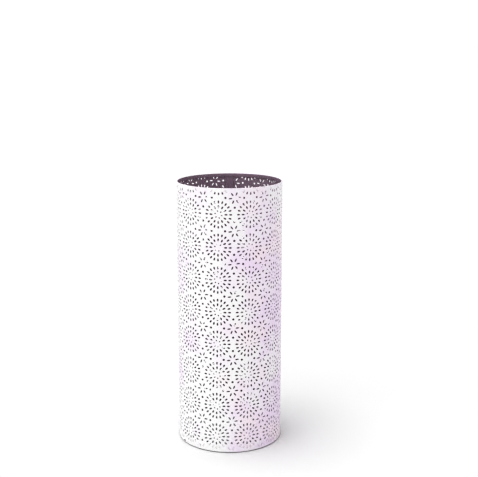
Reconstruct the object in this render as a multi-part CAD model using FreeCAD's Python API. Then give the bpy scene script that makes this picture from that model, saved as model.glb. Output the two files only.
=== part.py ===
import FreeCAD, Part
import math
import os
from FreeCAD import Vector

# Umbrella stand: an upright tube rolled from perforated sheet steel, open at the top.
# Millimetres, +Z up. The origin is the centre of the footprint on the floor.
# The front is towards -Y and the welded seam of the tube is at the back, on +Y.

# Rolled tube
SHELL_RADIUS = 100.0        # outside of the sheet
SHEET = 0.8                 # thickness of every steel sheet
SHELL_BOTTOM = 1.5          # the tube's lower edge hangs just clear of the floor
SHELL_TOP = 504.8           # the tube's upper edge, under the rim's lip
BUTT_GAP = 0.3              # between the two edges of the sheet at the seam
STANDOFF = 0.05             # between nested rings, taken up by the weld

# Perforation: rosettes on a grid, with a small star between each four of them
COLUMN_PITCH = 58.9         # along the sheet
ROW_PITCH = 60.84           # up the sheet
FIRST_COLUMN = -20.2        # rosette nearest the front, along the sheet from the front line
FIRST_ROW = 458.6           # height of the highest whole row of rosettes
COLUMNS = range(-6, 8)      # enough columns and rows to run past every edge of the sheet
ROWS = range(-2, 9)
COLUMN_LEAN = 0.0132        # the sheet was rolled slightly askew: columns lean with height
ROW_LEAN = 0.0075           # and rows fall to the right
EDGE_MARGIN = 0.9           # plain sheet between a hole and the upper or lower edge
SEAM_MARGIN = 8.3           # plain sheet between a hole and the seam
OUTLINE_POINTS = 8          # points on the outline of a hole
LINE_TOLERANCE = 0.001      # between an edge and its line on a cylinder
# Each ring: radius, number of holes, angle of the first, length, width, taper
ROSETTE_RINGS = ((6.35, 6, 45.0, 2.9, 2.0, 0.0),
                 (13.9, 12, 90.0, 5.7, 2.8, 0.28),
                 (22.5, 20, 90.0, 5.7, 2.8, 0.28))
STAR_RINGS = ((7.9, 6, 7.0, 6.7, 2.45, 0.0),
              (17.2, 4, 0.0, 4.0, 4.0, 0.0))
ROSETTE_PATCH = 26.2        # half width of the eight-sided patch of sheet round a rosette
STAR_PATCH = 14.5           # half width of the square patch round a star, standing on a corner
BLANK_REACH = 90.0          # half size of the blank that the patches are cut from

# Rim ring: rolled ring inside the mouth, its rounded lip over the sheet's raw edge
RIM_INNER = 98.0
RIM_LEG_BOTTOM = 498.6
RIM_TOP = 506.4

# Base pan: pressed dish, its flange welded inside the tube
PAN_UNDERSIDE = 2.5
PAN_FLANGE_TOP = 15.5
PAN_BEND = 3.0              # inside radius of the bend
BEAD_RADIUS = 58.0          # centre line of the stiffening bead, pressed downwards
BEAD_HALF_WIDTH = 5.0
BEAD_DEPTH = 1.0

# Seam strip: flat bar behind the butt joint
STRIP_WIDTH = 16.0
STRIP_END_GAP = 0.4

# Drip tray: loose plastic dish that lifts out through the mouth
TRAY_RADIUS = 97.0
TRAY_BOTTOM = 3.4
TRAY_TOP = 15.0
TRAY_WALL = 1.6
TRAY_BEND = 3.0
RIB_RADII = (20.0, 40.0, 60.0, 80.0)
RIB_WIDTH = 2.0
RIB_HEIGHT = 1.8

# Foot pads
FOOT_RADIUS = 8.0
FOOT_CIRCLE = 82.0
FOOT_CHAMFER = 0.6

AXIS = Vector(0, 0, 1)
ORIGIN = Vector(0, 0, 0)
INNER_RADIUS = SHELL_RADIUS - SHEET
RADII = (SHELL_RADIUS, INNER_RADIUS)
SHEET_LENGTH = 2 * math.pi * SHELL_RADIUS
FRONT = SHEET_LENGTH / 2


def on_sheet(along, height, radius):
    """Point of the rolled sheet; along is measured round the outside from the seam."""
    angle = along / SHELL_RADIUS
    return Vector(radius * math.cos(angle), radius * math.sin(angle), height)


def sheet_patch(radius, along_from, along_to, low, high):
    """Rectangular face of the rolled sheet on one of its two cylinders."""
    surface = Part.Cylinder()
    surface.Radius = radius
    return surface.toShape(along_from / SHELL_RADIUS, along_to / SHELL_RADIUS, low, high)


def ring_holes(rings):
    """Centres, directions and sizes of the holes round one motif, its centre at (0, 0)."""
    mean_pitch = (COLUMN_PITCH + ROW_PITCH) / 2
    lean = (COLUMN_LEAN + ROW_LEAN) / 2
    holes = []
    for radius, count, start, length, width, taper in rings:
        for k in range(count):
            angle = math.radians(start) + 2 * math.pi * k / count
            along = radius * math.cos(angle) * COLUMN_PITCH / mean_pitch
            up = radius * math.sin(angle) * ROW_PITCH / mean_pitch
            turned = (along + lean * up, up - lean * along)
            holes.append((turned[0], turned[1], angle - lean, length, width, taper))
    return holes


def hole_outline(along, height, hole, radius):
    """Closed edge of one punched hole: an oval that narrows towards the motif's centre."""
    centre_along, centre_up, angle, length, width, taper = hole
    points = []
    for k in range(OUTLINE_POINTS):
        turn = -2 * math.pi * k / OUTLINE_POINTS
        out = length / 2 * math.cos(turn)
        side = width / 2 * math.sin(turn) * (1 + taper * math.cos(turn))
        x = centre_along + out * math.cos(angle) - side * math.sin(angle)
        y = centre_up + out * math.sin(angle) + side * math.cos(angle)
        points.append(on_sheet(along + x, height + y, radius))
    knots = [float(k) for k in range(OUTLINE_POINTS + 1)]
    curve = Part.BSplineCurve()
    curve.interpolate(Points=points, PeriodicFlag=True, Parameters=knots)
    return curve.toShape()


def lay_on(edge, face):
    """Gives an edge its line on the face's surface, with a tolerance that covers both."""
    fixer = Part.ShapeFix.Edge()
    fixer.fixAddPCurve(edge, face, False, LINE_TOLERANCE)
    fixer.fixSameParameter(edge, 0.0)
    fixer.fixVertexTolerance(edge)


def punch(faces, along, height, holes):
    """Cuts the holes in the outer and inner face and returns the walls of the holes."""
    walls = []
    wires = ([], [])
    for hole in holes:
        edges = [hole_outline(along, height, hole, radius) for radius in RADII]
        for edge, face, found in zip(edges, faces, wires):
            lay_on(edge, face)
            found.append(Part.Wire([edge]))
        walls.append(Part.makeRuledSurface(edges[0], edges[1]))
    return wires, walls


def motif(rings, corners):
    """A patch of sheet with one motif punched in it, centred at the front at height 0."""
    polygon = [Vector(0, -x, y) for x, y in corners]
    polygon.append(polygon[0])
    prism = Part.Face(Part.makePolygon(polygon)).extrude(Vector(-2 * SHELL_RADIUS, 0, 0))
    span = (FRONT - BLANK_REACH, FRONT + BLANK_REACH, -BLANK_REACH, BLANK_REACH)
    faces = [sheet_patch(radius, *span).common(prism).Faces[0] for radius in RADII]
    wires, walls = punch(faces, FRONT, 0.0, ring_holes(rings))
    for face, found in zip(faces, wires):
        face.cutHoles(found)
    return Part.makeCompound(faces + walls)


def polygon_corners(half_width, sides, start):
    """Corners of a regular polygon with the given distance from its centre to its sides."""
    corner = half_width / math.cos(math.pi / sides)
    lean = (COLUMN_LEAN + ROW_LEAN) / 2
    turns = [start - lean + 2 * math.pi * k / sides for k in range(sides)]
    return [(corner * math.cos(t), corner * math.sin(t)) for t in turns]


def motif_centre(column, row):
    """Place of a motif on the sheet; halves of a column and row give the stars."""
    across = FIRST_COLUMN + column * COLUMN_PITCH
    height = FIRST_ROW - row * ROW_PITCH - ROW_LEAN * (across - FIRST_COLUMN)
    across += COLUMN_LEAN * (height - FIRST_ROW)
    return FRONT + across, height


def clear_of_edges(along, height, along_reach, up_reach):
    """True where a shape of that reach leaves the plain margins of the sheet whole."""
    low = SHELL_BOTTOM + EDGE_MARGIN + up_reach
    high = SHELL_TOP - EDGE_MARGIN - up_reach
    side = SEAM_MARGIN + along_reach
    return low < height < high and side < along < SHEET_LENGTH - side


def whole_holes(along, height, rings):
    """The holes of a motif at the edge of the sheet that are not cut by it."""
    kept = []
    for hole in ring_holes(rings):
        along_reach = math.hypot(hole[3] * math.cos(hole[2]), hole[4] * math.sin(hole[2])) / 2
        up_reach = math.hypot(hole[3] * math.sin(hole[2]), hole[4] * math.cos(hole[2])) / 2
        if clear_of_edges(along + hole[0], height + hole[1], along_reach, up_reach):
            kept.append(hole)
    return kept


def moved_motif(shape, along, height):
    """Copy of a motif's patch, rolled round to its place on the sheet."""
    placement = FreeCAD.Placement(Vector(0, 0, height),
                                  FreeCAD.Rotation(AXIS, math.degrees((along - FRONT) / SHELL_RADIUS)))
    return shape.transformed(placement.toMatrix(), True)


def outline_in(patch_face, sheet_face):
    """The patch's outline, as the edge of an opening in the surrounding sheet face."""
    edges = patch_face.OuterWire.Edges
    for edge in edges:
        lay_on(edge, sheet_face)
    wire = Part.Wire(edges)
    wire.reverse()
    return wire


def sheet_borders():
    """Narrow faces along the upper and lower edges and the two butt edges of the sheet."""
    start = BUTT_GAP / 2 / SHELL_RADIUS
    end = 2 * math.pi - start
    borders = []
    for height in (SHELL_BOTTOM, SHELL_TOP):
        arcs = []
        for radius in RADII:
            circle = Part.Circle(Vector(0, 0, height), AXIS, radius)
            arcs.append(Part.ArcOfCircle(circle, start, end).toShape())
        borders.append(Part.makeRuledSurface(arcs[0], arcs[1]))
    for along in (BUTT_GAP / 2, SHEET_LENGTH - BUTT_GAP / 2):
        corners = [on_sheet(along, SHELL_BOTTOM, SHELL_RADIUS), on_sheet(along, SHELL_TOP, SHELL_RADIUS),
                   on_sheet(along, SHELL_TOP, INNER_RADIUS), on_sheet(along, SHELL_BOTTOM, INNER_RADIUS)]
        borders.append(Part.Face(Part.makePolygon(corners + corners[:1])))
    return borders


def motif_places(offset):
    """Places of every rosette, or with an offset of a half every star, on and past the sheet."""
    return [motif_centre(column + offset, row + offset) for column in COLUMNS for row in ROWS]


def lay_pattern(faces, rings, corners, offset):
    """Openings for one kind of motif in the two skins, and the faces that go with them.

    A motif well inside the sheet is a copy of one patch. At an edge its whole holes are punched
    one by one.
    """
    patch = motif(rings, corners)
    reach = math.hypot(*corners[0])
    openings = ([], [])
    pieces = []
    for along, height in motif_places(offset):
        if clear_of_edges(along, height, reach, reach):
            piece = moved_motif(patch, along, height)
            wires = [[outline_in(piece.Faces[side], faces[side])] for side in (0, 1)]
            pieces.append(piece)
        else:
            wires, walls = punch(faces, along, height, whole_holes(along, height, rings))
            pieces.extend(walls)
        for found, more in zip(openings, wires):
            found.extend(more)
    return openings, pieces


def perforated_shell():
    """The rolled sheet: two cylinders with holes, the walls of the holes and the borders."""
    span = (BUTT_GAP / 2, SHEET_LENGTH - BUTT_GAP / 2, SHELL_BOTTOM, SHELL_TOP)
    faces = [sheet_patch(radius, *span) for radius in RADII]
    octagon = polygon_corners(ROSETTE_PATCH, 8, math.pi / 8)
    square = polygon_corners(STAR_PATCH, 4, 0.0)
    rosettes, rosette_pieces = lay_pattern(faces, ROSETTE_RINGS, octagon, 0.0)
    stars, star_pieces = lay_pattern(faces, STAR_RINGS, square, 0.5)
    for face, around, between in zip(faces, rosettes, stars):
        face.cutHoles(around + between)
    skin = Part.makeCompound(faces + rosette_pieces + star_pieces + sheet_borders())
    skin.sewShape()
    solid = Part.Solid(skin.Shells[0])
    return solid.rotated(ORIGIN, AXIS, 90)


def revolved(profile):
    """Solid of revolution about Z; the profile is a closed list of edges in the XZ plane."""
    return Part.Face(Part.Wire(profile)).revolve(ORIGIN, AXIS, 360)


def line(start, end):
    """Straight profile edge between two (radius, height) points."""
    return Part.LineSegment(Vector(start[0], 0, start[1]), Vector(end[0], 0, end[1])).toShape()


def bend(start, middle, end):
    """Arc profile edge through three (radius, height) points."""
    points = [Vector(r, 0, z) for r, z in (start, middle, end)]
    return Part.Arc(*points).toShape()


def quarter(centre, radius):
    """Arc of a bend from straight below its centre to straight outside it."""
    diagonal = radius * math.sqrt(0.5)
    start = (centre[0], centre[1] - radius)
    middle = (centre[0] + diagonal, centre[1] - diagonal)
    return start, middle, (centre[0] + radius, centre[1])


def top_rim_ring():
    """Ring inside the mouth: a straight leg behind the sheet and a half-round lip on its edge."""
    leg_outer = INNER_RADIUS - STANDOFF
    half = (SHELL_RADIUS - RIM_INNER) / 2
    shoulder = RIM_TOP - half
    middle = RIM_INNER + half
    profile = [line((RIM_INNER, RIM_LEG_BOTTOM), (RIM_INNER, shoulder)),
               bend((RIM_INNER, shoulder), (middle, RIM_TOP), (SHELL_RADIUS, shoulder)),
               line((SHELL_RADIUS, shoulder), (SHELL_RADIUS, SHELL_TOP)),
               line((SHELL_RADIUS, SHELL_TOP), (leg_outer, SHELL_TOP)),
               line((leg_outer, SHELL_TOP), (leg_outer, RIM_LEG_BOTTOM)),
               line((leg_outer, RIM_LEG_BOTTOM), (RIM_INNER, RIM_LEG_BOTTOM))]
    return revolved(profile)


def seam_strip():
    """Curved strip welded across the inside of the butt joint at the back."""
    outer = INNER_RADIUS - STANDOFF
    low = PAN_FLANGE_TOP + STRIP_END_GAP
    high = RIM_LEG_BOTTOM - STRIP_END_GAP
    corners = [(outer - SHEET, low), (outer, low), (outer, high), (outer - SHEET, high)]
    edges = [line(a, b) for a, b in zip(corners, corners[1:] + corners[:1])]
    turn = math.degrees(STRIP_WIDTH / outer)
    strip = Part.Face(Part.Wire(edges)).revolve(ORIGIN, AXIS, turn)
    return strip.rotated(ORIGIN, AXIS, 90 - turn / 2)


def base_pan():
    """Pressed dish: flat floor with one stiffening bead, a bend and an upright flange."""
    outer = INNER_RADIUS - STANDOFF
    floor = PAN_UNDERSIDE + SHEET
    centre = (outer - SHEET - PAN_BEND, floor + PAN_BEND)
    outside = quarter(centre, PAN_BEND + SHEET)
    inside = quarter(centre, PAN_BEND)
    bead_in = BEAD_RADIUS - BEAD_HALF_WIDTH
    bead_out = BEAD_RADIUS + BEAD_HALF_WIDTH
    profile = [line((0, PAN_UNDERSIDE), (bead_in, PAN_UNDERSIDE)),
               bend((bead_in, PAN_UNDERSIDE), (BEAD_RADIUS, PAN_UNDERSIDE - BEAD_DEPTH),
                    (bead_out, PAN_UNDERSIDE)),
               line((bead_out, PAN_UNDERSIDE), outside[0]),
               bend(*outside),
               line(outside[2], (outer, PAN_FLANGE_TOP)),
               line((outer, PAN_FLANGE_TOP), (outer - SHEET, PAN_FLANGE_TOP)),
               line((outer - SHEET, PAN_FLANGE_TOP), inside[2]),
               bend(*inside[::-1]),
               line(inside[0], (bead_out, floor)),
               bend((bead_out, floor), (BEAD_RADIUS, floor - BEAD_DEPTH), (bead_in, floor)),
               line((bead_in, floor), (0, floor)),
               line((0, floor), (0, PAN_UNDERSIDE))]
    return revolved(profile)


def tray_dish():
    """The tray's dish, before its ribs."""
    floor = TRAY_BOTTOM + TRAY_WALL
    centre = (TRAY_RADIUS - TRAY_WALL - TRAY_BEND, floor + TRAY_BEND)
    outside = quarter(centre, TRAY_BEND + TRAY_WALL)
    inside = quarter(centre, TRAY_BEND)
    inner = TRAY_RADIUS - TRAY_WALL
    shoulder = TRAY_TOP - TRAY_WALL / 2
    profile = [line((0, TRAY_BOTTOM), outside[0]),
               bend(*outside),
               line(outside[2], (TRAY_RADIUS, shoulder)),
               bend((TRAY_RADIUS, shoulder), (TRAY_RADIUS - TRAY_WALL / 2, TRAY_TOP), (inner, shoulder)),
               line((inner, shoulder), inside[2]),
               bend(*inside[::-1]),
               line(inside[0], (0, floor)),
               line((0, floor), (0, TRAY_BOTTOM))]
    return revolved(profile)


def tray_rib(radius):
    """Round rib that keeps the umbrella tips out of the water; it starts inside the floor."""
    low = TRAY_BOTTOM + TRAY_WALL / 2
    height = TRAY_WALL / 2 + RIB_HEIGHT
    foot = Vector(0, 0, low)
    outer = Part.makeCylinder(radius + RIB_WIDTH / 2, height, foot)
    return outer.cut(Part.makeCylinder(radius - RIB_WIDTH / 2, height, foot))


def drip_tray():
    """Loose plastic tray: the dish and its round ribs, moulded as one."""
    return tray_dish().fuse([tray_rib(radius) for radius in RIB_RADII]).removeSplitter()


def foot(side, depth):
    """Round non-slip pad stuck under the pan; side and depth pick the corner."""
    offset = FOOT_CIRCLE * math.sqrt(0.5)
    centre = Vector(side * offset, depth * offset, 0)
    pad = Part.makeCylinder(FOOT_RADIUS, PAN_UNDERSIDE, centre)
    lower = [edge for edge in pad.Edges if edge.BoundBox.ZMax < FOOT_CHAMFER]
    return pad.makeChamfer(FOOT_CHAMFER, lower)


def single_solid(shape):
    """The one solid of a shape, out of any compound round it."""
    return shape.Solids[0]


def all_parts():
    """Every node of the stand by name."""
    parts = {"perforated_shell": perforated_shell(),
             "top_rim_ring": top_rim_ring(),
             "seam_strip": seam_strip(),
             "base_pan": base_pan(),
             "drip_tray": drip_tray()}
    for depth, where in ((-1, "front"), (1, "back")):
        for side, hand in ((-1, "left"), (1, "right")):
            parts["foot_" + where + "_" + hand] = foot(side, depth)
    return parts


os.makedirs("parts", exist_ok=True)
for name, shape in all_parts().items():
    solid = single_solid(shape)
    solid.exportStep(os.path.join("parts", name + ".step"))
    print(name, len(shape.Solids), "solid", round(solid.Volume), "mm3")
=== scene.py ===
import math

import bpy
import numpy as np
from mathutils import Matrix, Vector
from mathutils.geometry import delaunay_2d_cdt


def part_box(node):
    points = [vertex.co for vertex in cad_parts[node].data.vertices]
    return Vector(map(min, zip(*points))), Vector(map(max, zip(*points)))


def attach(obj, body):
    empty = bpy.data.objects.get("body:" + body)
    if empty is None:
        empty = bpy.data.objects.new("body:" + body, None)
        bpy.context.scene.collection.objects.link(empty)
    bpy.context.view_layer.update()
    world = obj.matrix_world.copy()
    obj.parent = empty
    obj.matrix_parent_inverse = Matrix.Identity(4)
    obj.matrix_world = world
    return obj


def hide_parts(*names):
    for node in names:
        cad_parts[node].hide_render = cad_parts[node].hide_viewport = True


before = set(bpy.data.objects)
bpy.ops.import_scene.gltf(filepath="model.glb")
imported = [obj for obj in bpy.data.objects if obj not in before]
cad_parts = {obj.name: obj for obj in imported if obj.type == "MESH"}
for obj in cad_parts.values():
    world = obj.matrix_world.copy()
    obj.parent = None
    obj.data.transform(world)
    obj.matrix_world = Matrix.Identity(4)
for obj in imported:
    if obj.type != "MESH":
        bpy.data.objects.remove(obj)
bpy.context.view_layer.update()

scene = bpy.context.scene


# ---------------------------------------------------------------- camera
# Seen from the front, from a little above the mouth, with a long lens that keeps the sides
# of the tube nearly parallel.
EYE = (0.0, -1.788, 0.7713)
DOWN = 0.2080
TO_THE_RIGHT = 0.0101

camera_data = bpy.data.cameras.new("camera")
camera_data.lens = 72.0
camera_data.sensor_width = 36.0
camera = bpy.data.objects.new("camera", camera_data)
camera.location = EYE
camera.rotation_euler = (math.pi / 2 - DOWN, 0.0, -TO_THE_RIGHT)
scene.collection.objects.link(camera)
scene.camera = camera


# ---------------------------------------------------------------- perforated shell
# One sheet of 0.8 mm steel, punched flat with rosettes and small stars, rolled into a tube
# and butt welded down the back. Each rosette is three rings of holes; a star with four dots
# sits between every four rosettes. The sheet was rolled slightly askew, so columns lean.
shell_low, shell_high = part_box("perforated_shell")
SHELL_RADIUS = shell_high.x
SHELL_BOTTOM = shell_low.z
SHELL_TOP = shell_high.z
SHEET = 0.0008
BUTT_GAP = 0.0003

COLUMN_PITCH = 0.0589
ROW_PITCH = 0.06084
COLUMNS = range(-6, 8)
ROWS = range(-2, 9)
FIRST_COLUMN = -0.0202
FIRST_ROW = 0.4586
COLUMN_LEAN = 0.0132
ROW_LEAN = 0.0075
EDGE_MARGIN = 0.0009
SEAM_MARGIN = 0.0083
BORDER_STEP = 0.004
# ring radius, holes in it, angle of the first, hole length, width and taper
ROSETTE_RINGS = ((0.00635, 6, 45.0, 0.0029, 0.0020, 0.0),
                 (0.0139, 12, 90.0, 0.0057, 0.0028, 0.28),
                 (0.0225, 20, 90.0, 0.0057, 0.0028, 0.28))
STAR_RINGS = ((0.0079, 6, 7.0, 0.0067, 0.00245, 0.0),
              (0.0172, 4, 0.0, 0.0040, 0.0040, 0.0))
OUTLINE_POINTS = 11
SAME_POINT = 1e-7


def motif_holes(rings):
    """One row per hole of a motif: along, up, direction, length, width, taper.

    Hole k of a ring lies at radius * (cos a, sin a) with a = start + k * 360 / count, stretched to
    the pitch of the pattern and turned clockwise by the mean lean.
    """
    mean_pitch = (COLUMN_PITCH + ROW_PITCH) / 2
    lean = (COLUMN_LEAN + ROW_LEAN) / 2
    rows = []
    for radius, count, start, length, width, taper in rings:
        angle = math.radians(start) + 2 * math.pi * np.arange(count) / count
        along = radius * np.cos(angle) * COLUMN_PITCH / mean_pitch
        up = radius * np.sin(angle) * ROW_PITCH / mean_pitch
        size = np.tile((length, width, taper), (count, 1))
        rows.append(np.column_stack((along + lean * up, up - lean * along, angle - lean, size)))
    return np.concatenate(rows)


def pattern_holes(rings, offset):
    """Holes of every motif on the sheet that stay clear of its edges and its seam.

    A motif's centre is first + column * pitch along and first - row * pitch up, with rows falling
    to the right and columns leaning with height; offset is half a column and row for the stars.
    """
    column, row = np.meshgrid(np.array(COLUMNS) + offset, np.array(ROWS) + offset)
    across = column.ravel() * COLUMN_PITCH
    up = FIRST_ROW - row.ravel() * ROW_PITCH - ROW_LEAN * across
    along = FIRST_COLUMN + across + COLUMN_LEAN * (up - FIRST_ROW)
    motif = motif_holes(rings)
    holes = np.tile(motif, (len(along), 1))
    holes[:, 0] += np.repeat(along, len(motif))
    holes[:, 1] += np.repeat(up, len(motif))
    cos, sin = np.cos(holes[:, 2]), np.sin(holes[:, 2])
    reach_along = np.hypot(holes[:, 3] * cos, holes[:, 4] * sin) / 2
    reach_up = np.hypot(holes[:, 3] * sin, holes[:, 4] * cos) / 2
    clear = holes[:, 1] - reach_up > SHELL_BOTTOM + EDGE_MARGIN
    clear &= holes[:, 1] + reach_up < SHELL_TOP - EDGE_MARGIN
    clear &= np.abs(holes[:, 0]) + reach_along < math.pi * SHELL_RADIUS - SEAM_MARGIN
    return holes[clear]


def hole_outlines(holes):
    """Ovals with their long axis along each hole's direction, as (hole, point, 2).

    out = length/2 * cos t, side = width/2 * sin t * (1 + taper * cos t), turned by the direction.
    """
    t = 2 * math.pi * np.arange(OUTLINE_POINTS) / OUTLINE_POINTS
    x, y, angle, length, width, taper = (column[:, None] for column in holes.T)
    out = length / 2 * np.cos(t)
    side = width / 2 * np.sin(t) * (1 + taper * np.cos(t))
    along = x + out * np.cos(angle) - side * np.sin(angle)
    up = y + out * np.sin(angle) + side * np.cos(angle)
    return np.stack((along, up), axis=-1)


def sheet_border():
    """Points round the flat sheet's edge, counter-clockwise, about BORDER_STEP apart."""
    half = math.pi * SHELL_RADIUS - BUTT_GAP / 2
    corners = np.array([(-half, SHELL_BOTTOM), (half, SHELL_BOTTOM), (half, SHELL_TOP), (-half, SHELL_TOP)])
    sides = []
    for start, end in zip(corners, np.roll(corners, -1, axis=0)):
        count = round(np.abs(end - start).max() / BORDER_STEP)
        sides.append(start + (end - start) * np.arange(count)[:, None] / count)
    return np.concatenate(sides)


def flat_sheet():
    """Triangles of the flat sheet between its border and the outlines of its holes."""
    holes = np.concatenate((pattern_holes(ROSETTE_RINGS, 0.0), pattern_holes(STAR_RINGS, 0.5)))
    outlines = hole_outlines(holes)
    border = sheet_border()
    count = len(outlines) * OUTLINE_POINTS
    points = np.concatenate((outlines.reshape(-1, 2), border))
    owner = np.concatenate((np.arange(count) // OUTLINE_POINTS, np.full(len(border), -1)))
    first = np.arange(count)
    last_of_hole = first % OUTLINE_POINTS == OUTLINE_POINTS - 1
    following = np.where(last_of_hole, first - OUTLINE_POINTS + 1, first + 1)
    edge = np.arange(len(border))
    ends = np.concatenate((following, count + np.roll(edge, -1)))
    edges = np.column_stack((np.arange(len(points)), ends)).tolist()
    flat = [Vector(point) for point in points]
    corners, _, faces, came_from, _, _ = delaunay_2d_cdt(flat, edges, [], 0, SAME_POINT)
    owner = owner[np.array([ids[0] for ids in came_from])]
    corners = np.array(corners)
    faces = np.array(faces)
    inside_hole = (owner[faces[:, 0]] >= 0) & (np.ptp(owner[faces], axis=1) == 0)
    return corners, faces[~inside_hole]


def rolled(corners, radius):
    """A point (s, z) of the flat sheet goes to (r sin(s/R), -r cos(s/R), z)."""
    turn = corners[:, 0] / SHELL_RADIUS
    return np.column_stack((radius * np.sin(turn), -radius * np.cos(turn), corners[:, 1]))


def open_edges(faces):
    """Directed edges of the triangles that no neighbour shares."""
    edges = np.concatenate((faces[:, (0, 1)], faces[:, (1, 2)], faces[:, (2, 0)]))
    scale = faces.max() + 1
    forward = edges[:, 0] * scale + edges[:, 1]
    backward = edges[:, 1] * scale + edges[:, 0]
    return edges[~np.isin(forward, backward)]


def sheet_piece(name):
    """The rolled sheet: outer skin, the same skin one thickness in, and a wall on every open edge."""
    corners, faces = flat_sheet()
    count = len(corners)
    outer = rolled(corners, SHELL_RADIUS)
    inner = rolled(corners, SHELL_RADIUS - SHEET)
    points = np.concatenate((outer, inner))
    edges = open_edges(faces)
    a, b = edges.T
    walls = np.concatenate((np.column_stack((b, a, a + count)), np.column_stack((b, a + count, b + count))))
    triangles = np.concatenate((faces, faces[:, ::-1] + count, walls))
    mesh = bpy.data.meshes.new(name)
    mesh.from_pydata(points.tolist(), [], triangles.tolist())
    # true normals of the cylinder on both skins, and the mean of its walls at a hole's edge
    radial = points * (1, 1, 0)
    radial /= np.linalg.norm(radial, axis=1)[:, None]
    chord = points[b] - points[a]
    facing = np.cross(radial[a] + radial[b], chord)
    facing /= np.linalg.norm(facing, axis=1)[:, None]
    wall_normals = np.zeros((count, 3))
    np.add.at(wall_normals, a, -facing)
    np.add.at(wall_normals, b, -facing)
    lengths = np.linalg.norm(wall_normals, axis=1)[:, None]
    wall_normals /= np.where(lengths > 0, lengths, 1)
    normals = np.concatenate((radial[faces], -radial[faces[:, ::-1] + count], wall_normals[walls % count]))
    mesh.normals_split_custom_set(normals.reshape(-1, 3).tolist())
    piece = bpy.data.objects.new(name, mesh)
    scene.collection.objects.link(piece)
    return piece


def new_material(name):
    """An empty node material with its shader and its Object coordinates."""
    material = bpy.data.materials.new(name)
    material.use_nodes = True
    nodes = material.node_tree.nodes
    shader = nodes["Principled BSDF"]
    place = nodes.new("ShaderNodeTexCoord").outputs["Object"]
    return material, shader, place


def add_node(material, kind, inputs=None, **settings):
    """A node with its settings, and its inputs linked or set by name or number."""
    node = material.node_tree.nodes.new(kind)
    for key, value in settings.items():
        setattr(node, key, value)
    for key, value in (inputs or {}).items():
        socket = node.inputs[key]
        if isinstance(value, bpy.types.NodeSocket):
            material.node_tree.links.new(value, socket)
        else:
            socket.default_value = value
    return node


def add_noise(material, place, size, detail, roughness=0.5):
    """Noise whose blotches are about size metres across."""
    inputs = {"Vector": place, "Scale": 1 / size, "Detail": detail, "Roughness": roughness}
    return add_node(material, "ShaderNodeTexNoise", inputs).outputs["Fac"]


def add_ramp(material, factor, low, high, low_colour, high_colour):
    """Colour that goes from low_colour to high_colour as the factor goes from low to high."""
    node = add_node(material, "ShaderNodeValToRGB", {"Fac": factor})
    for element, position, colour in zip(node.color_ramp.elements, (low, high), (low_colour, high_colour)):
        element.position = position
        element.color = (*colour, 1)
    return node.outputs["Color"]


def add_range(material, factor, low, high, to_low, to_high):
    """Number that goes from to_low to to_high as the factor goes from low to high."""
    inputs = {"Value": factor, "From Min": low, "From Max": high, "To Min": to_low, "To Max": to_high}
    return add_node(material, "ShaderNodeMapRange", inputs).outputs["Result"]


def add_mix(material, factor, first, second):
    """First colour at factor 0, second at factor 1."""
    inputs = {"Factor": factor, 6: first, 7: second}
    return add_node(material, "ShaderNodeMix", inputs, data_type="RGBA").outputs[2]


def link(material, output, socket):
    """Joins a node's output to a shader's input."""
    material.node_tree.links.new(output, socket)


PEARL_WHITE = (0.91, 0.91, 0.91)
# Lilac and pink: partly random clouds in the coat, partly a painted reflection towards +x.
LILAC_CLOUD_AND_PAINTED_REFLECTION = (0.87, 0.78, 0.90)
PINK_CLOUD_AND_PAINTED_REFLECTION = (0.92, 0.83, 0.87)
# Painted shade: dark mauve that stands for the pale coat in shade inside the tube.
PAINTED_SHADE_DARK = (0.40, 0.315, 0.38)
PAINTED_SHADE_PALER = (0.48, 0.39, 0.46)
PEEL_SIZE = 0.0016
PEEL_HEIGHT = 0.000012


def pearl_with_painted_reflection(material, place):
    """White with lilac and pink clouds that two sizes of noise break up; the lilac growing with x and the
    pink kept to the +x half are a painted reflection on that side.
    """
    clouds = add_noise(material, place, 0.11, 2.0)
    mottle = add_noise(material, place, 0.022, 3.0)
    side = add_node(material, "ShaderNodeSeparateXYZ", {"Vector": place}).outputs["X"]
    # painted reflection: lilac grows towards +x, the right side seen from the front
    painted_reflection_shift = add_range(material, side, -0.05, 0.09, -0.42, -0.14)
    clouds_and_painted_side = add_node(material, "ShaderNodeMath", {0: clouds, 1: painted_reflection_shift}, operation="ADD")
    clouds_and_painted_side = add_node(material, "ShaderNodeMath", {0: mottle, 1: 0.4, 2: clouds_and_painted_side.outputs[0]},
                      operation="MULTIPLY_ADD")
    lilac = add_ramp(material, clouds_and_painted_side.outputs[0], 0.30, 0.64, PEARL_WHITE, LILAC_CLOUD_AND_PAINTED_REFLECTION)
    blush = add_range(material, add_noise(material, place, 0.07, 2.0), 0.52, 0.70, 0.0, 0.7)
    # painted reflection: the pink blotches keep to the +x half
    painted_reflection_half = add_range(material, side, -0.04, 0.02, 0.0, 1.0)
    blush = add_node(material, "ShaderNodeMath", {0: blush, 1: painted_reflection_half}, operation="MULTIPLY").outputs[0]
    return add_mix(material, blush, lilac, (*PINK_CLOUD_AND_PAINTED_REFLECTION, 1))


def inside_painted_shade(material, place):
    """Painted shade of the inside: dark mauve with lighter blotches, in place of the pale coat in shade."""
    blotches = add_noise(material, place, 0.06, 4.0)
    return add_ramp(material, blotches, 0.4, 0.7, PAINTED_SHADE_DARK, PAINTED_SHADE_PALER)


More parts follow.
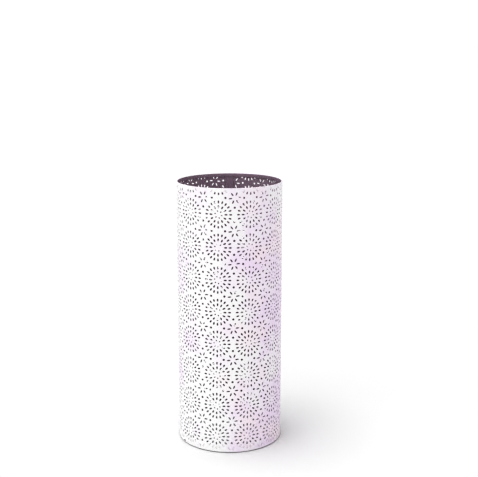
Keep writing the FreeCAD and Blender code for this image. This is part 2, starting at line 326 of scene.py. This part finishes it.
def coat_finish(material, shader, place, colour):
    """Satin powder coat of one colour: uneven gloss and orange peel under a thin clear coat."""
    link(material, colour, shader.inputs["Base Color"])
    grain = add_noise(material, place, 0.0012, 4.0)
    link(material, add_range(material, grain, 0.3, 0.7, 0.36, 0.48), shader.inputs["Roughness"])
    peel = add_noise(material, place, PEEL_SIZE, 2.0)
    bump = add_node(material, "ShaderNodeBump", {"Height": peel, "Strength": 0.5, "Distance": PEEL_HEIGHT})
    link(material, bump.outputs["Normal"], shader.inputs["Normal"])
    shader.inputs["Coat Weight"].default_value = 0.2
    shader.inputs["Coat Roughness"].default_value = 0.3


def pearl_with_painted_shade(name, measure, dark_until, pearl_from):
    """Pearl outside and painted shade, a dark mauve, inside: measure goes from the radius and height to the
    step.
    """
    material, shader, place = new_material(name)
    amount = add_range(material, measure(material, place), dark_until, pearl_from, 0.0, 1.0)
    colour = add_mix(material, amount, inside_painted_shade(material, place), pearl_with_painted_reflection(material, place))
    coat_finish(material, shader, place, colour)
    return material


def axis_distance(material, place):
    """Distance of a point from the stand's upright axis."""
    flat = add_node(material, "ShaderNodeVectorMath", {0: place, 1: (1, 1, 0)}, operation="MULTIPLY")
    length = add_node(material, "ShaderNodeVectorMath", {0: flat.outputs[0]}, operation="LENGTH")
    return length.outputs["Value"]


shell = sheet_piece("perforated_sheet")
SKIN = SHELL_RADIUS - SHEET
# Pearl outside; painted shade on the inner skin and the inner part of every hole's wall.
sheet_material_painted_light = pearl_with_painted_shade("pearl_coat_painted_light_sheet", axis_distance, SKIN + SHEET * 0.1, SKIN + SHEET * 0.5)
shell.data.materials.append(sheet_material_painted_light)
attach(shell, "stand")
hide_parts("perforated_shell")


# ---------------------------------------------------------------- rim ring
# A rolled steel ring inside the mouth: a straight leg behind the sheet and a half-round lip
# that covers the sheet's raw edge. It is coated together with the sheet.
rim_low, rim_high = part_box("top_rim_ring")
RIM_INNER = 0.098
STANDOFF = 0.00005
RIM_SOFTENING = 0.0003
RIM_TURN = 192


def arc(centre, radius, start, end, count):
    """Points (r, z) of an arc, centre + radius * (cos a, sin a), with a in degrees."""
    angle = np.radians(np.linspace(start, end, count))
    return np.column_stack((centre[0] + radius * np.cos(angle), centre[1] + radius * np.sin(angle)))


def ring_of(profile, turns):
    """Grid (profile point, turn) of points (r cos a, r sin a, z) for a profile of (r, z) rows."""
    angle = 2 * math.pi * np.arange(turns) / turns
    r, z = profile[:, 0, None], profile[:, 1, None]
    return np.stack((r * np.cos(angle), r * np.sin(angle), z + 0 * angle), axis=-1)


def quads(rows, turns, closed):
    """Quads between neighbouring points of a grid that closes along its turns, and maybe its rows."""
    row = np.arange(rows if closed else rows - 1)[:, None]
    turn = np.arange(turns)[None, :]
    below, above = row * turns, (row + 1) % rows * turns
    after = (turn + 1) % turns
    return np.stack((below + turn, below + after, above + after, above + turn), axis=-1).reshape(-1, 4)


def turned_piece(name, profile, turns, centre=(0.0, 0.0)):
    """Solid of revolution about an upright axis through centre.

    The profile runs counter-clockwise round the section, with the radius to the right. One that
    starts and ends on the axis is closed there by a point with a fan of triangles.
    """
    on_axis = profile[0, 0] == 0
    body = profile[1:-1] if on_axis else profile
    points = ring_of(body, turns).reshape(-1, 3)
    faces = quads(len(body), turns, not on_axis).tolist()
    if on_axis:
        turn = np.arange(turns)
        after = (turn + 1) % turns
        start, end = len(points), len(points) + 1
        last = (len(body) - 1) * turns
        points = np.concatenate((points, [(0, 0, profile[0, 1]), (0, 0, profile[-1, 1])]))
        faces += np.column_stack((np.full(turns, start), after, turn)).tolist()
        faces += np.column_stack((last + turn, last + after, np.full(turns, end))).tolist()
    points = points + (centre[0], centre[1], 0)
    mesh = bpy.data.meshes.new(name)
    mesh.from_pydata(points.tolist(), [], faces)
    mesh.shade_smooth()
    piece = bpy.data.objects.new(name, mesh)
    scene.collection.objects.link(piece)
    return piece


def rim_profile():
    """Section of the ring: the lip's half round, the step onto the sheet, and the straight leg."""
    half = (SHELL_RADIUS - RIM_INNER) / 2
    shoulder = rim_high.z - half
    leg = SHELL_RADIUS - SHEET - STANDOFF
    soft = RIM_SOFTENING
    foot = rim_low.z
    return np.concatenate((
        arc((SHELL_RADIUS - half, shoulder), half, 0, 180, 13),
        arc((RIM_INNER + soft, foot + soft), soft, 180, 270, 4),
        arc((leg - soft, foot + soft), soft, 270, 360, 4),
        [(leg, SHELL_TOP - 0.001), (leg, SHELL_TOP), (leg + 0.0001, SHELL_TOP)],
        arc((SHELL_RADIUS - soft / 2, SHELL_TOP + soft / 2), soft / 2, 270, 360, 3)))


LIP_STARTS = rim_high.z - 0.0012
LEG_MIDDLE = RIM_INNER + 0.0006


def out_of_the_leg(material, place):
    """The larger of a point's distance outside the middle of the leg and its height in the lip."""
    up = add_node(material, "ShaderNodeSeparateXYZ", {"Vector": place}).outputs["Z"]
    up = add_node(material, "ShaderNodeMath", {0: up, 1: LIP_STARTS}, operation="SUBTRACT").outputs[0]
    out = add_node(material, "ShaderNodeMath", {0: axis_distance(material, place), 1: LEG_MIDDLE},
                   operation="SUBTRACT").outputs[0]
    return add_node(material, "ShaderNodeMath", {0: up, 1: out}, operation="MAXIMUM").outputs[0]


rim = turned_piece("rolled_rim", rim_profile(), RIM_TURN)
# Pearl lip and outer face; painted shade on the inner face of the leg below the lip.
rim.data.materials.append(pearl_with_painted_shade("pearl_coat_painted_light_rim", out_of_the_leg, 0.0, 0.0003))
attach(rim, "stand")
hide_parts("top_rim_ring")


# ---------------------------------------------------------------- seam strip
# A flat steel strip rolled to the inside of the tube. It backs the butt joint from the pan
# to the rim and is spot welded along both edges of the sheet.
strip_low, strip_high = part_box("seam_strip")
STRIP_WIDTH = 0.016
STRIP_SOFTENING = 0.00025
WELD_STEP = 0.032
WELD_RADIUS = 0.0022
WELD_RISE = 0.00025
WELD_SINK = 0.0002
WELD_OFFSETS = (-0.0045, 0.0045)
WELD_RINGS = (1.0, 0.7, 0.35)
WELD_TURN = 12


def strip_section():
    """Plan of the strip as a closed loop: an arc along its outside, one back along its inside."""
    outer = SHELL_RADIUS - SHEET - STANDOFF
    inner = outer - SHEET
    half = STRIP_WIDTH / 2 / outer
    soft = STRIP_SOFTENING
    out = np.linspace(-1, 1, 13) * (half - soft / outer)
    radius = np.concatenate((np.full(13, outer), [outer - soft, inner + soft], np.full(13, inner),
                             [inner + soft, outer - soft]))
    angle = np.concatenate((out, [half, half], out[::-1], [-half, -half]))
    return np.column_stack((-radius * np.sin(angle), radius * np.cos(angle)))


def upright_piece(name, section, heights):
    """A closed plan section carried straight up through the heights, with flat ends."""
    count = len(section)
    levels = len(heights)
    points = np.concatenate([np.column_stack((section, np.full(count, z))) for z in heights])
    faces = quads(levels, count, False).tolist()
    faces.append(list(range(count))[::-1])
    faces.append(list(range(count * (levels - 1), count * levels)))
    mesh = bpy.data.meshes.new(name)
    mesh.from_pydata(points.tolist(), [], faces)
    mesh.shade_smooth()
    mesh.set_sharp_from_angle(angle=math.radians(50))
    piece = bpy.data.objects.new(name, mesh)
    scene.collection.objects.link(piece)
    return piece


def weld_marks(name):
    """Low domes on the strip's inside: dome point = inner skin - rise * (1 - (d/radius)^2).

    A dome is a few rings and a tip, closed below by a skirt that sinks into the strip and its base.
    """
    inner = SHELL_RADIUS - 2 * SHEET - STANDOFF
    turn = np.arange(WELD_TURN)
    after = (turn + 1) % WELD_TURN
    around = 2 * math.pi * turn / WELD_TURN
    rings = np.array(WELD_RINGS)[:, None]
    x = WELD_RADIUS * rings * np.cos(around)
    z = WELD_RADIUS * rings * np.sin(around)
    rise = WELD_RISE * (1 - rings ** 2) + 0 * around
    heights = np.arange(strip_low.z + WELD_STEP / 2, strip_high.z - WELD_RADIUS, WELD_STEP)
    column, level = (grid.ravel() for grid in np.meshgrid(WELD_OFFSETS, heights))
    dome = np.concatenate((np.stack((x, rise, z), axis=-1).reshape(-1, 3), [(0, WELD_RISE, 0)]))
    dome = np.concatenate((dome, dome[:WELD_TURN] - (0, WELD_SINK, 0)))
    tip = len(WELD_RINGS) * WELD_TURN
    last, skirt = tip - WELD_TURN, tip + 1
    shape = quads(len(WELD_RINGS), WELD_TURN, False).tolist()
    shape += np.column_stack((last + turn, last + after, np.full(WELD_TURN, tip))).tolist()
    shape += np.column_stack((skirt + turn, skirt + after, after, turn)).tolist()
    shape.append((skirt + turn[::-1]).tolist())
    points, faces = [], []
    for number, (side, height) in enumerate(zip(column, level)):
        turned = (dome[:, 0] + side) / inner
        radius = inner - dome[:, 1]
        x, y = -radius * np.sin(turned), radius * np.cos(turned)
        points.append(np.column_stack((x, y, dome[:, 2] + height)))
        faces += [[corner + number * len(dome) for corner in face[::-1]] for face in shape]
    mesh = bpy.data.meshes.new(name)
    mesh.from_pydata(np.concatenate(points).tolist(), [], faces)
    mesh.shade_smooth()
    mesh.set_sharp_from_angle(angle=math.radians(40))
    piece = bpy.data.objects.new(name, mesh)
    scene.collection.objects.link(piece)
    return piece


def painted_shade_material(name):
    """Painted shade alone, a dark mauve under the satin finish, on the pieces that stand inside the tube.
    """
    material, shader, place = new_material(name)
    coat_finish(material, shader, place, inside_painted_shade(material, place))
    return material


# The strip and its weld marks are painted shade all over, a dark mauve inside the tube.
shade_painted_inside = painted_shade_material("dark_mauve_painted_shade")
strip = upright_piece("seam_backing_strip", strip_section(), np.linspace(strip_low.z, strip_high.z, 25))
strip.data.materials.append(shade_painted_inside)
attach(strip, "stand")
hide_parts("seam_strip")

welds = weld_marks("seam_spot_welds")
welds.data.materials.append(shade_painted_inside)
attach(welds, "stand")


# ---------------------------------------------------------------- base pan
# A pressed steel dish: flat floor with one bead pressed downwards to stiffen it, a bend of
# 3 mm and an upright flange that is welded inside the foot of the tube.
pan_low, pan_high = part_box("base_pan")
PAN_UNDERSIDE = 0.0025
PAN_BEND = 0.003
BEAD_RADIUS = 0.058
BEAD_HALF_WIDTH = 0.005
PAN_TURN = 160


def bead(level, outwards):
    """Raised-cosine groove, level - depth * (1 + cos(pi d / half width)) / 2, across the bead."""
    offset = np.linspace(-1, 1, 11) * outwards
    depth = PAN_UNDERSIDE - pan_low.z
    height = level - depth * (1 + np.cos(math.pi * offset)) / 2
    return np.column_stack((BEAD_RADIUS + BEAD_HALF_WIDTH * offset, height))


def pan_profile():
    """Section of the pan: the underside out to the flange, over its edge and back along the floor."""
    outer = SHELL_RADIUS - SHEET - STANDOFF
    floor = PAN_UNDERSIDE + SHEET
    bend = (outer - SHEET - PAN_BEND, floor + PAN_BEND)
    top = (outer - SHEET / 2, pan_high.z - SHEET / 2)
    middle = np.linspace(0, BEAD_RADIUS - BEAD_HALF_WIDTH, 8)[:-1]
    under = np.column_stack((middle, np.full(7, PAN_UNDERSIDE)))
    over = under[::-1] + (0, SHEET)
    return np.concatenate((
        under, bead(PAN_UNDERSIDE, 1), arc(bend, PAN_BEND + SHEET, 270, 360, 9),
        arc(top, SHEET / 2, 0, 180, 7), arc(bend, PAN_BEND, 360, 270, 9), bead(floor, -1), over))


pan = turned_piece("pressed_pan", pan_profile(), PAN_TURN)
FLANGE_MIDDLE = SHELL_RADIUS - SHEET * 1.5 - STANDOFF
# Pearl on the outer face of the flange; painted shade on the rest of the pan.
pan.data.materials.append(pearl_with_painted_shade("pearl_coat_painted_light_pan", axis_distance, FLANGE_MIDDLE, FLANGE_MIDDLE + 0.0003))
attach(pan, "stand")
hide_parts("base_pan")


# ---------------------------------------------------------------- drip tray
# A loose injection-moulded tray that catches the water. Round ribs keep the umbrella tips
# off its floor, and a gate mark is left in the middle of it.
tray_low, tray_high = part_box("drip_tray")
TRAY_RADIUS = tray_high.x
TRAY_WALL = 0.0016
TRAY_BEND = 0.003
RIB_RADII = (0.020, 0.040, 0.060, 0.080)
RIB_WIDTH = 0.002
RIB_HEIGHT = 0.0018
RIB_FILLET = 0.0005
# radius and rise of the gate mark
GATE_MARK = ((0.0035, 0.0), (0.003, 0.0002), (0.0012, 0.0003), (0.0, 0.0003))
TRAY_GREY = (0.62, 0.62, 0.64)
TRAY_GREY_PALE = (0.68, 0.68, 0.69)
WATER_STAIN = (0.55, 0.54, 0.52)
TRAY_TURN = 160


def rib(radius, floor):
    """Section of a rib, met from outside: small fillets at its foot and a full round on top."""
    half = RIB_WIDTH / 2
    foot = RIB_FILLET
    return np.concatenate((
        arc((radius + half + foot, floor + foot), foot, 270, 180, 4),
        arc((radius, floor + RIB_HEIGHT - half), half, 0, 180, 9),
        arc((radius - half - foot, floor + foot), foot, 0, -90, 4)))


def tray_profile():
    """Section of the tray: underside, outer wall, rounded edge, inner wall, ribbed floor."""
    floor = tray_low.z + TRAY_WALL
    bend = (TRAY_RADIUS - TRAY_WALL - TRAY_BEND, floor + TRAY_BEND)
    edge = (TRAY_RADIUS - TRAY_WALL / 2, tray_high.z - TRAY_WALL / 2)
    ribs = [rib(radius, floor) for radius in RIB_RADII[::-1]]
    under = np.column_stack((np.linspace(0, bend[0], 12)[:-1], np.full(11, tray_low.z)))
    gate = np.array(GATE_MARK) + (0, floor)
    return np.concatenate((
        under, arc(bend, TRAY_BEND + TRAY_WALL, 270, 360, 9), arc(edge, TRAY_WALL / 2, 0, 180, 9),
        arc(bend, TRAY_BEND, 360, 270, 9), *ribs, gate))


def moulded_plastic(name):
    """Matt light grey plastic: fine spark-eroded grain, faint flow marks, and dried water stains."""
    material, shader, place = new_material(name)
    flow = add_noise(material, place, 0.05, 3.0)
    grain = add_noise(material, place, 0.0006, 2.0)
    stain = add_noise(material, place, 0.018, 4.0)
    base = add_ramp(material, flow, 0.35, 0.65, TRAY_GREY, TRAY_GREY_PALE)
    amount = add_range(material, stain, 0.6, 0.75, 0.0, 0.3)
    stained = add_mix(material, amount, base, (*WATER_STAIN, 1))
    link(material, stained, shader.inputs["Base Color"])
    link(material, add_range(material, stain, 0.3, 0.7, 0.5, 0.62), shader.inputs["Roughness"])
    bump = add_node(material, "ShaderNodeBump", {"Height": grain, "Strength": 0.4, "Distance": 0.00002})
    link(material, bump.outputs["Normal"], shader.inputs["Normal"])
    return material


tray = turned_piece("ribbed_tray", tray_profile(), TRAY_TURN)
tray.data.materials.append(moulded_plastic("tray_plastic_grain"))
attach(tray, "drip_tray")
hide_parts("drip_tray")


# ---------------------------------------------------------------- foot pads
# Four moulded rubber pads stuck under the pan. Each has a chamfered edge and three round
# grooves in its sole.
PAD_RADIUS = 0.008
PAD_GROOVES = (0.0058, 0.004, 0.0022)
GROOVE_RADIUS = 0.0004
PAD_TURN = 48
RUBBER_BLACK = (0.018, 0.018, 0.02)
RUBBER_BLOOM = (0.05, 0.05, 0.052)


def groove(radius, sole):
    """Section of a groove in the sole, met from inside: a half round of 0.4 mm."""
    return arc((radius, sole), GROOVE_RADIUS, 180, 0, 7)


def pad_profile(low, high):
    """Section of a pad: grooved sole, chamfer, side and flat top."""
    grooves = [groove(radius, low) for radius in PAD_GROOVES[::-1]]
    side = ((PAD_RADIUS - 0.0006, low), (PAD_RADIUS - 0.0001, low + 0.0005), (PAD_RADIUS, low + 0.0007),
            (PAD_RADIUS, high - 0.0003), (PAD_RADIUS - 0.0003, high), (0.004, high), (0, high))
    return np.concatenate((((0, low),), *grooves, side))


def pad_rubber(name):
    """Black rubber: dusty bloom in blotches and a fine moulded grain."""
    material, shader, place = new_material(name)
    bloom = add_noise(material, place, 0.004, 3.0)
    grain = add_noise(material, place, 0.0004, 2.0)
    black = add_ramp(material, bloom, 0.4, 0.7, RUBBER_BLACK, RUBBER_BLOOM)
    link(material, black, shader.inputs["Base Color"])
    link(material, add_range(material, bloom, 0.3, 0.7, 0.62, 0.85), shader.inputs["Roughness"])
    bump = add_node(material, "ShaderNodeBump", {"Height": grain, "Strength": 0.5, "Distance": 0.00003})
    link(material, bump.outputs["Normal"], shader.inputs["Normal"])
    return material


rubber = pad_rubber("pad_rubber_grain")
for node in ("foot_front_left", "foot_front_right", "foot_back_left", "foot_back_right"):
    low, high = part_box(node)
    middle = (low + high) / 2
    pad = turned_piece(node + "_pad", pad_profile(low.z, high.z), PAD_TURN, (middle.x, middle.y))
    pad.data.materials.append(rubber)
    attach(pad, "stand")
    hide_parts(node)


# ---------------------------------------------------------------- floor and light
# A plain pale floor under an even white sky. A soft sun high on the left draws a short shadow
# to the right of the stand, and a softer one from the front left lights its front.
FLOOR_SIZE = 150.0
FLOOR_GREY = (0.765, 0.765, 0.765)
FLOOR_GREY_PALE = (0.775, 0.775, 0.775)


def floor_plane():
    """Large square floor at the height on which the pads stand."""
    size = FLOOR_SIZE
    mesh = bpy.data.meshes.new("floor")
    corners = [(-size, -size, 0), (size, -size, 0), (size, size, 0), (-size, size, 0)]
    mesh.from_pydata(corners, [], [(0, 1, 2, 3)])
    plane = bpy.data.objects.new("floor", mesh)
    scene.collection.objects.link(plane)
    material, shader, place = new_material("studio_floor")
    tone = add_noise(material, place, 0.5, 2.0)
    grey = add_ramp(material, tone, 0.3, 0.7, FLOOR_GREY, FLOOR_GREY_PALE)
    link(material, grey, shader.inputs["Base Color"])
    shader.inputs["Roughness"].default_value = 0.9
    shader.inputs["Specular IOR Level"].default_value = 0.0
    plane.data.materials.append(material)
    return plane


def soft_sun(name, height, side, strength, softness):
    """Distant light at a height above the horizon, turned from the front towards the left."""
    height, side = math.radians(height), math.radians(side)
    level = math.cos(height)
    towards = Vector((-math.sin(side) * level, -math.cos(side) * level, math.sin(height)))
    data = bpy.data.lights.new(name, "SUN")
    data.energy = strength
    data.angle = math.radians(softness)
    light = bpy.data.objects.new(name, data)
    light.location = towards * 3
    light.rotation_euler = towards.to_track_quat("Z", "Y").to_euler()
    scene.collection.objects.link(light)


def even_sky(light, seen):
    """White sky of one strength as light, and of another where it is seen behind the floor."""
    world = bpy.data.worlds.new("studio")
    world.use_nodes = True
    nodes = world.node_tree.nodes
    path = nodes.new("ShaderNodeLightPath")
    strength = nodes.new("ShaderNodeMapRange")
    strength.inputs["To Min"].default_value = light
    strength.inputs["To Max"].default_value = seen
    world.node_tree.links.new(path.outputs["Is Camera Ray"], strength.inputs["Value"])
    background = nodes["Background"]
    background.inputs["Color"].default_value = (1.0, 1.0, 1.0, 1.0)
    world.node_tree.links.new(strength.outputs["Result"], background.inputs["Strength"])
    scene.world = world


floor_plane()
soft_sun("high_left", 81.0, 92.0, 1.15, 34.0)
soft_sun("front_left", 42.0, 38.0, 0.46, 50.0)
even_sky(0.88, 1.05)
scene.view_settings.view_transform = "Standard"
scene.view_settings.look = "None"
scene.view_settings.gamma = 0.58
